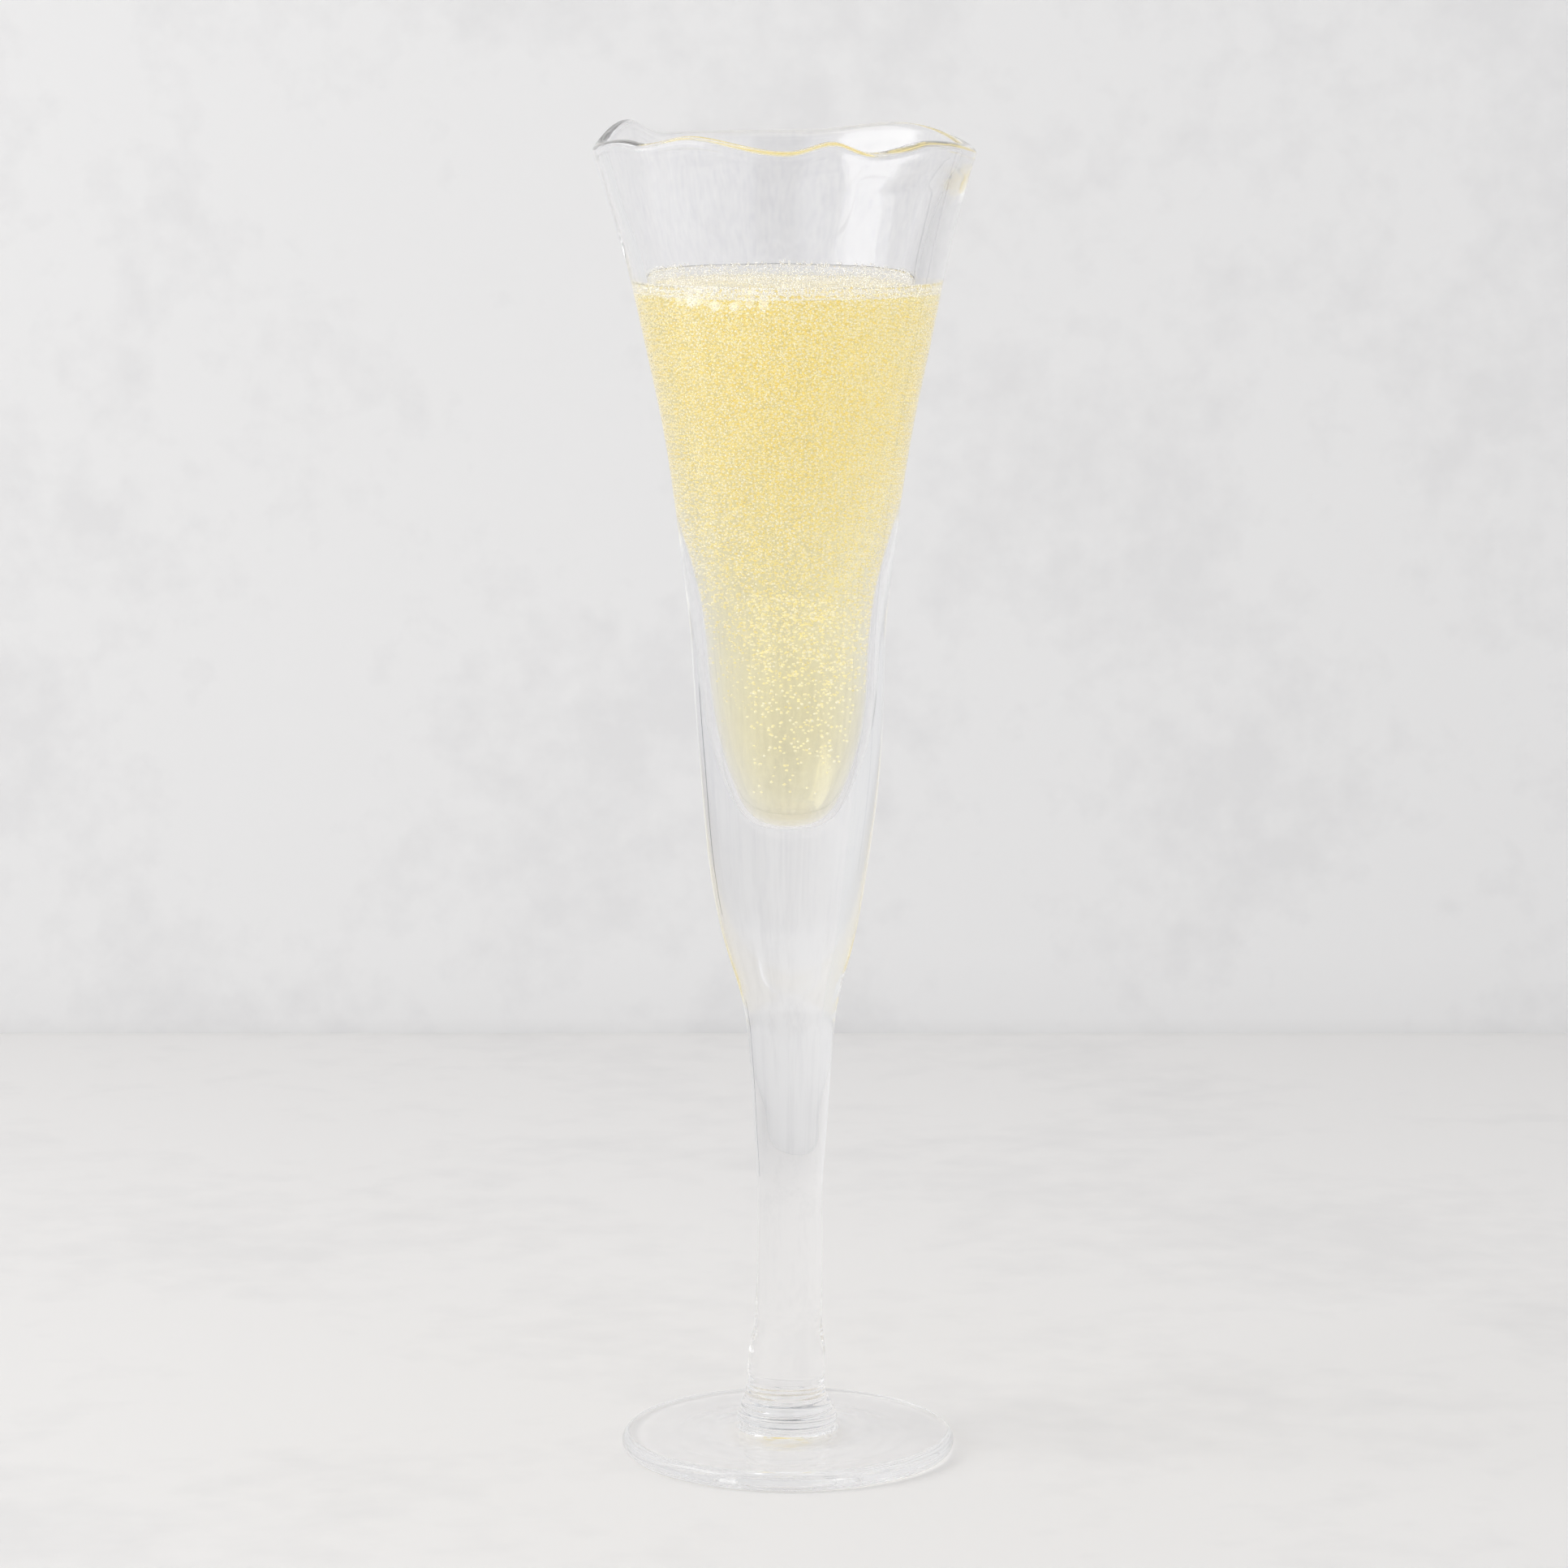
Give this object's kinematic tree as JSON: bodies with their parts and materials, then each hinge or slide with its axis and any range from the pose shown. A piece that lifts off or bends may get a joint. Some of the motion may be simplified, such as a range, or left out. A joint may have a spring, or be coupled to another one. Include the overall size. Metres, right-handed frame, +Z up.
{
  "type": "champagne flute",
  "caption": "Hand-made clear glass champagne flute with a thick trumpet bowl, ruffled lip, solid stem, merese collar and disc foot, filled with a pale gold sparkling drink",
  "frame": {"origin": "middle of the foot, on the surface the flute stands on", "axes": "+Z up along the stem; -Y is the side that faces the viewer and +X is to the viewer's right"},
  "size_m": [0.0715, 0.0709, 0.2529],
  "materials": {
    "clear_glass": "polished",
    "sparkling_wine": "polished",
    "froth": "satin"
  },
  "bodies": {
    "root": {"bowl": "clear_glass", "stem": "clear_glass", "upper_wrap": "clear_glass", "lower_wrap": "clear_glass", "merese": "clear_glass", "foot": "clear_glass", "drink": "sparkling_wine", "foam": "froth"}
  },
  "joints": []
}
